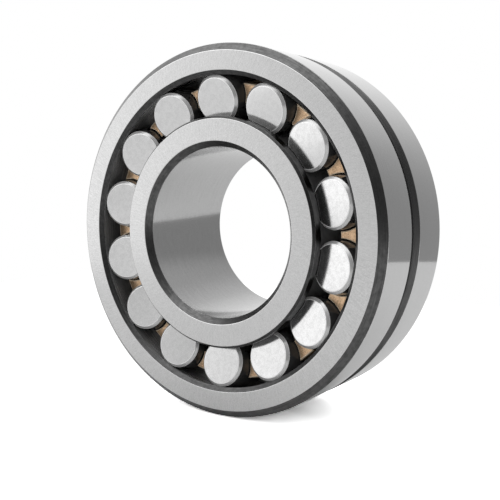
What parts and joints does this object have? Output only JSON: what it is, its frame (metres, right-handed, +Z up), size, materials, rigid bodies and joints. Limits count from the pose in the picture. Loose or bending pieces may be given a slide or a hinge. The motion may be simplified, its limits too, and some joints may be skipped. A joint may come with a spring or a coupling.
{
  "type": "spherical roller bearing",
  "caption": "Double-row self-aligning roller bearing: barrel rollers in machined cages run on a spherical outer raceway, with a lubrication groove and a plain cylindrical bore.",
  "frame": {"origin": "centre of the bearing, on its axis and on its mid plane", "axes": "Y along the bearing axis, -Y out of the front face, +Z up, +X to the right seen from the front"},
  "size_m": [0.13, 0.046, 0.13],
  "materials": {
    "ring_steel": "ground bearing steel, darker hardened chamfers and groove",
    "roller_steel": "polished barrel surface, fine ground ends",
    "guide_steel": "dark oiled steel",
    "cage_brass": "machined brass, satin"
  },
  "bodies": {
    "outer_ring": {"outer_ring": "ring_steel"},
    "inner_ring": {"inner_ring": "ring_steel"},
    "guide_ring": {"guide_ring": "guide_steel"},
    "cage_front": {"cage_front": "cage_brass"},
    "cage_rear": {"cage_rear": "cage_brass"},
    "roller_front_01": {"roller_front_01": "roller_steel"},
    "roller_front_02": {"roller_front_02": "roller_steel"},
    "roller_front_03": {"roller_front_03": "roller_steel"},
    "roller_front_04": {"roller_front_04": "roller_steel"},
    "roller_front_05": {"roller_front_05": "roller_steel"},
    "roller_front_06": {"roller_front_06": "roller_steel"},
    "roller_front_07": {"roller_front_07": "roller_steel"},
    "roller_front_08": {"roller_front_08": "roller_steel"},
    "roller_front_09": {"roller_front_09": "roller_steel"},
    "roller_front_10": {"roller_front_10": "roller_steel"},
    "roller_front_11": {"roller_front_11": "roller_steel"},
    "roller_front_12": {"roller_front_12": "roller_steel"},
    "roller_front_13": {"roller_front_13": "roller_steel"},
    "roller_front_14": {"roller_front_14": "roller_steel"},
    "roller_rear_01": {"roller_rear_01": "roller_steel"},
    "roller_rear_02": {"roller_rear_02": "roller_steel"},
    "roller_rear_03": {"roller_rear_03": "roller_steel"},
    "roller_rear_04": {"roller_rear_04": "roller_steel"},
    "roller_rear_05": {"roller_rear_05": "roller_steel"},
    "roller_rear_06": {"roller_rear_06": "roller_steel"},
    "roller_rear_07": {"roller_rear_07": "roller_steel"},
    "roller_rear_08": {"roller_rear_08": "roller_steel"},
    "roller_rear_09": {"roller_rear_09": "roller_steel"},
    "roller_rear_10": {"roller_rear_10": "roller_steel"},
    "roller_rear_11": {"roller_rear_11": "roller_steel"},
    "roller_rear_12": {"roller_rear_12": "roller_steel"},
    "roller_rear_13": {"roller_rear_13": "roller_steel"},
    "roller_rear_14": {"roller_rear_14": "roller_steel"}
  },
  "joints": [
    {"name": "ring_swivel", "type": "hinge", "parent": "outer_ring", "child": "guide_ring", "pos_m": [0, 0, 0], "axis": [1, 0, 0], "range_deg": [-5, 5]},
    {"name": "inner_ring_spin", "type": "hinge", "parent": "guide_ring", "child": "inner_ring", "pos_m": [0, 0, 0], "axis": [0, 1, 0], "continuous": true},
    {"name": "cage_front_spin", "type": "hinge", "parent": "guide_ring", "child": "cage_front", "pos_m": [0, 0, 0], "axis": [0, 1, 0], "continuous": true},
    {"name": "cage_rear_spin", "type": "hinge", "parent": "guide_ring", "child": "cage_rear", "pos_m": [0, 0, 0], "axis": [0, 1, 0], "continuous": true},
    {"name": "roller_front_01_spin", "type": "hinge", "parent": "cage_front", "child": "roller_front_01", "pos_m": [-0.001, -0.01194, 0.04787], "axis": [-0.0051, 0.9703, 0.2419], "continuous": true},
    {"name": "roller_front_02_spin", "type": "hinge", "parent": "cage_front", "child": "roller_front_02", "pos_m": [0.01987, -0.01194, 0.04357], "axis": [0.1004, 0.9703, 0.2201], "continuous": true},
    {"name": "roller_front_03_spin", "type": "hinge", "parent": "cage_front", "child": "roller_front_03", "pos_m": [0.0368, -0.01194, 0.03063], "axis": [0.1859, 0.9703, 0.1548], "continuous": true},
    {"name": "roller_front_04_spin", "type": "hinge", "parent": "cage_front", "child": "roller_front_04", "pos_m": [0.04645, -0.01194, 0.01163], "axis": [0.2347, 0.9703, 0.0588], "continuous": true},
    {"name": "roller_front_05_spin", "type": "hinge", "parent": "cage_front", "child": "roller_front_05", "pos_m": [0.0469, -0.01194, -0.00967], "axis": [0.2369, 0.9703, -0.0489], "continuous": true},
    {"name": "roller_front_06_spin", "type": "hinge", "parent": "cage_front", "child": "roller_front_06", "pos_m": [0.03805, -0.01194, -0.02907], "axis": [0.1923, 0.9703, -0.1468], "continuous": true},
    {"name": "roller_front_07_spin", "type": "hinge", "parent": "cage_front", "child": "roller_front_07", "pos_m": [0.02167, -0.01194, -0.0427], "axis": [0.1095, 0.9703, -0.2157], "continuous": true},
    {"name": "roller_front_08_spin", "type": "hinge", "parent": "cage_front", "child": "roller_front_08", "pos_m": [0.001, -0.01194, -0.04787], "axis": [0.0051, 0.9703, -0.2419], "continuous": true},
    {"name": "roller_front_09_spin", "type": "hinge", "parent": "cage_front", "child": "roller_front_09", "pos_m": [-0.01987, -0.01194, -0.04357], "axis": [-0.1004, 0.9703, -0.2201], "continuous": true},
    {"name": "roller_front_10_spin", "type": "hinge", "parent": "cage_front", "child": "roller_front_10", "pos_m": [-0.0368, -0.01194, -0.03063], "axis": [-0.1859, 0.9703, -0.1548], "continuous": true},
    {"name": "roller_front_11_spin", "type": "hinge", "parent": "cage_front", "child": "roller_front_11", "pos_m": [-0.04645, -0.01194, -0.01163], "axis": [-0.2347, 0.9703, -0.0588], "continuous": true},
    {"name": "roller_front_12_spin", "type": "hinge", "parent": "cage_front", "child": "roller_front_12", "pos_m": [-0.0469, -0.01194, 0.00967], "axis": [-0.2369, 0.9703, 0.0489], "continuous": true},
    {"name": "roller_front_13_spin", "type": "hinge", "parent": "cage_front", "child": "roller_front_13", "pos_m": [-0.03805, -0.01194, 0.02907], "axis": [-0.1923, 0.9703, 0.1468], "continuous": true},
    {"name": "roller_front_14_spin", "type": "hinge", "parent": "cage_front", "child": "roller_front_14", "pos_m": [-0.02167, -0.01194, 0.0427], "axis": [-0.1095, 0.9703, 0.2157], "continuous": true},
    {"name": "roller_rear_01_spin", "type": "hinge", "parent": "cage_rear", "child": "roller_rear_01", "pos_m": [-0.01163, 0.01194, 0.04645], "axis": [0.0588, 0.9703, -0.2347], "continuous": true},
    {"name": "roller_rear_02_spin", "type": "hinge", "parent": "cage_rear", "child": "roller_rear_02", "pos_m": [0.00967, 0.01194, 0.0469], "axis": [-0.0489, 0.9703, -0.2369], "continuous": true},
    {"name": "roller_rear_03_spin", "type": "hinge", "parent": "cage_rear", "child": "roller_rear_03", "pos_m": [0.02907, 0.01194, 0.03805], "axis": [-0.1468, 0.9703, -0.1923], "continuous": true},
    {"name": "roller_rear_04_spin", "type": "hinge", "parent": "cage_rear", "child": "roller_rear_04", "pos_m": [0.0427, 0.01194, 0.02167], "axis": [-0.2157, 0.9703, -0.1095], "continuous": true},
    {"name": "roller_rear_05_spin", "type": "hinge", "parent": "cage_rear", "child": "roller_rear_05", "pos_m": [0.04787, 0.01194, 0.001], "axis": [-0.2419, 0.9703, -0.0051], "continuous": true},
    {"name": "roller_rear_06_spin", "type": "hinge", "parent": "cage_rear", "child": "roller_rear_06", "pos_m": [0.04357, 0.01194, -0.01987], "axis": [-0.2201, 0.9703, 0.1004], "continuous": true},
    {"name": "roller_rear_07_spin", "type": "hinge", "parent": "cage_rear", "child": "roller_rear_07", "pos_m": [0.03063, 0.01194, -0.0368], "axis": [-0.1548, 0.9703, 0.1859], "continuous": true},
    {"name": "roller_rear_08_spin", "type": "hinge", "parent": "cage_rear", "child": "roller_rear_08", "pos_m": [0.01163, 0.01194, -0.04645], "axis": [-0.0588, 0.9703, 0.2347], "continuous": true},
    {"name": "roller_rear_09_spin", "type": "hinge", "parent": "cage_rear", "child": "roller_rear_09", "pos_m": [-0.00967, 0.01194, -0.0469], "axis": [0.0489, 0.9703, 0.2369], "continuous": true},
    {"name": "roller_rear_10_spin", "type": "hinge", "parent": "cage_rear", "child": "roller_rear_10", "pos_m": [-0.02907, 0.01194, -0.03805], "axis": [0.1468, 0.9703, 0.1923], "continuous": true},
    {"name": "roller_rear_11_spin", "type": "hinge", "parent": "cage_rear", "child": "roller_rear_11", "pos_m": [-0.0427, 0.01194, -0.02167], "axis": [0.2157, 0.9703, 0.1095], "continuous": true},
    {"name": "roller_rear_12_spin", "type": "hinge", "parent": "cage_rear", "child": "roller_rear_12", "pos_m": [-0.04787, 0.01194, -0.001], "axis": [0.2419, 0.9703, 0.0051], "continuous": true},
    {"name": "roller_rear_13_spin", "type": "hinge", "parent": "cage_rear", "child": "roller_rear_13", "pos_m": [-0.04357, 0.01194, 0.01987], "axis": [0.2201, 0.9703, -0.1004], "continuous": true},
    {"name": "roller_rear_14_spin", "type": "hinge", "parent": "cage_rear", "child": "roller_rear_14", "pos_m": [-0.03063, 0.01194, 0.0368], "axis": [0.1548, 0.9703, -0.1859], "continuous": true}
  ],
  "couplings": [
    {"joint": "cage_front_spin", "follows": "inner_ring_spin", "ratio": 0.40881},
    {"joint": "cage_rear_spin", "follows": "inner_ring_spin", "ratio": 0.40881},
    {"joint": "roller_front_01_spin", "follows": "inner_ring_spin", "ratio": -2.5718},
    {"joint": "roller_front_02_spin", "follows": "inner_ring_spin", "ratio": -2.5718},
    {"joint": "roller_front_03_spin", "follows": "inner_ring_spin", "ratio": -2.5718},
    {"joint": "roller_front_04_spin", "follows": "inner_ring_spin", "ratio": -2.5718},
    {"joint": "roller_front_05_spin", "follows": "inner_ring_spin", "ratio": -2.5718},
    {"joint": "roller_front_06_spin", "follows": "inner_ring_spin", "ratio": -2.5718},
    {"joint": "roller_front_07_spin", "follows": "inner_ring_spin", "ratio": -2.5718},
    {"joint": "roller_front_08_spin", "follows": "inner_ring_spin", "ratio": -2.5718},
    {"joint": "roller_front_09_spin", "follows": "inner_ring_spin", "ratio": -2.5718},
    {"joint": "roller_front_10_spin", "follows": "inner_ring_spin", "ratio": -2.5718},
    {"joint": "roller_front_11_spin", "follows": "inner_ring_spin", "ratio": -2.5718},
    {"joint": "roller_front_12_spin", "follows": "inner_ring_spin", "ratio": -2.5718},
    {"joint": "roller_front_13_spin", "follows": "inner_ring_spin", "ratio": -2.5718},
    {"joint": "roller_front_14_spin", "follows": "inner_ring_spin", "ratio": -2.5718},
    {"joint": "roller_rear_01_spin", "follows": "inner_ring_spin", "ratio": -2.5718},
    {"joint": "roller_rear_02_spin", "follows": "inner_ring_spin", "ratio": -2.5718},
    {"joint": "roller_rear_03_spin", "follows": "inner_ring_spin", "ratio": -2.5718},
    {"joint": "roller_rear_04_spin", "follows": "inner_ring_spin", "ratio": -2.5718},
    {"joint": "roller_rear_05_spin", "follows": "inner_ring_spin", "ratio": -2.5718},
    {"joint": "roller_rear_06_spin", "follows": "inner_ring_spin", "ratio": -2.5718},
    {"joint": "roller_rear_07_spin", "follows": "inner_ring_spin", "ratio": -2.5718},
    {"joint": "roller_rear_08_spin", "follows": "inner_ring_spin", "ratio": -2.5718},
    {"joint": "roller_rear_09_spin", "follows": "inner_ring_spin", "ratio": -2.5718},
    {"joint": "roller_rear_10_spin", "follows": "inner_ring_spin", "ratio": -2.5718},
    {"joint": "roller_rear_11_spin", "follows": "inner_ring_spin", "ratio": -2.5718},
    {"joint": "roller_rear_12_spin", "follows": "inner_ring_spin", "ratio": -2.5718},
    {"joint": "roller_rear_13_spin", "follows": "inner_ring_spin", "ratio": -2.5718},
    {"joint": "roller_rear_14_spin", "follows": "inner_ring_spin", "ratio": -2.5718}
  ]
}
